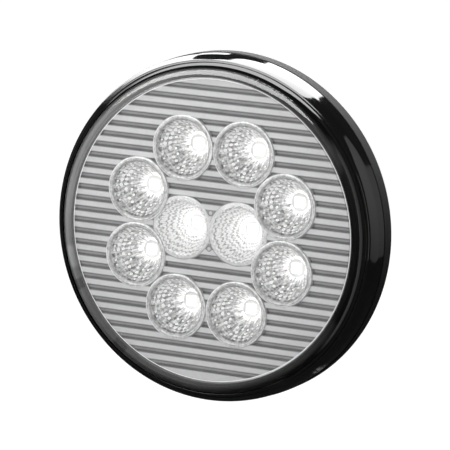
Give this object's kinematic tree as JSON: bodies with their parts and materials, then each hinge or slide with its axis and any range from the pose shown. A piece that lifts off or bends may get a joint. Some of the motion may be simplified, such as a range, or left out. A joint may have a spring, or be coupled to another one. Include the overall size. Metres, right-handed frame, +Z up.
{
  "type": "trailer tail light",
  "caption": "Round sealed LED vehicle lamp: clear lens, fluted bright plate with bowl reflectors, glossy black rim, rear can with a recessed plug socket.",
  "frame": {"origin": "on the lamp's axis, in the middle of the rim's rear band, which the mounting grommet grips", "axes": "-Y out of the lens (the way the light shines), +Y out of the plug socket, +Z up with the flutes level, +X to the right seen from the front"},
  "size_m": [0.1088, 0.0386, 0.1088],
  "materials": {
    "housing": "glossy black moulding",
    "plug_socket": "black moulding, fine spark texture",
    "outer_lens": "clear, polished",
    "lens_seal": "matt black",
    "fluted_plate": "bright satin",
    "plate_posts": "satin",
    "circuit_board": "white solder mask",
    "board_screws": "zinc plated",
    "resistors": "black chips",
    "diodes": "black moulding",
    "capacitors": "bare can",
    "regulator": "black moulding",
    "surge_suppressor": "black moulding",
    "solder_joints": "bright solder",
    "potting": "black epoxy",
    "terminal": "bare brass",
    "ring_cup": "metallised, faceted",
    "centre_cup": "metallised, pebbled",
    "led": "clear dome over phosphor"
  },
  "bodies": {
    "root": {"housing": "housing", "plug_socket": "plug_socket", "outer_lens": "outer_lens", "lens_seal": "lens_seal", "fluted_plate": "fluted_plate", "plate_posts": "plate_posts", "circuit_board": "circuit_board", "board_screws": "board_screws", "resistors": "resistors", "diodes": "diodes", "capacitors": "capacitors", "regulator": "regulator", "surge_suppressor": "surge_suppressor", "solder_joints": "solder_joints", "potting": "potting", "ground_pin": "terminal", "tail_pin": "terminal", "stop_pin": "terminal", "ring_cup_1": "ring_cup", "ring_cup_2": "ring_cup", "ring_cup_3": "ring_cup", "ring_cup_4": "ring_cup", "ring_cup_5": "ring_cup", "ring_cup_6": "ring_cup", "ring_cup_7": "ring_cup", "ring_cup_8": "ring_cup", "centre_cup_1": "centre_cup", "centre_cup_2": "centre_cup", "led_1": "led", "led_2": "led", "led_3": "led", "led_4": "led", "led_5": "led", "led_6": "led", "led_7": "led", "led_8": "led", "led_9": "led", "led_10": "led"}
  },
  "joints": []
}
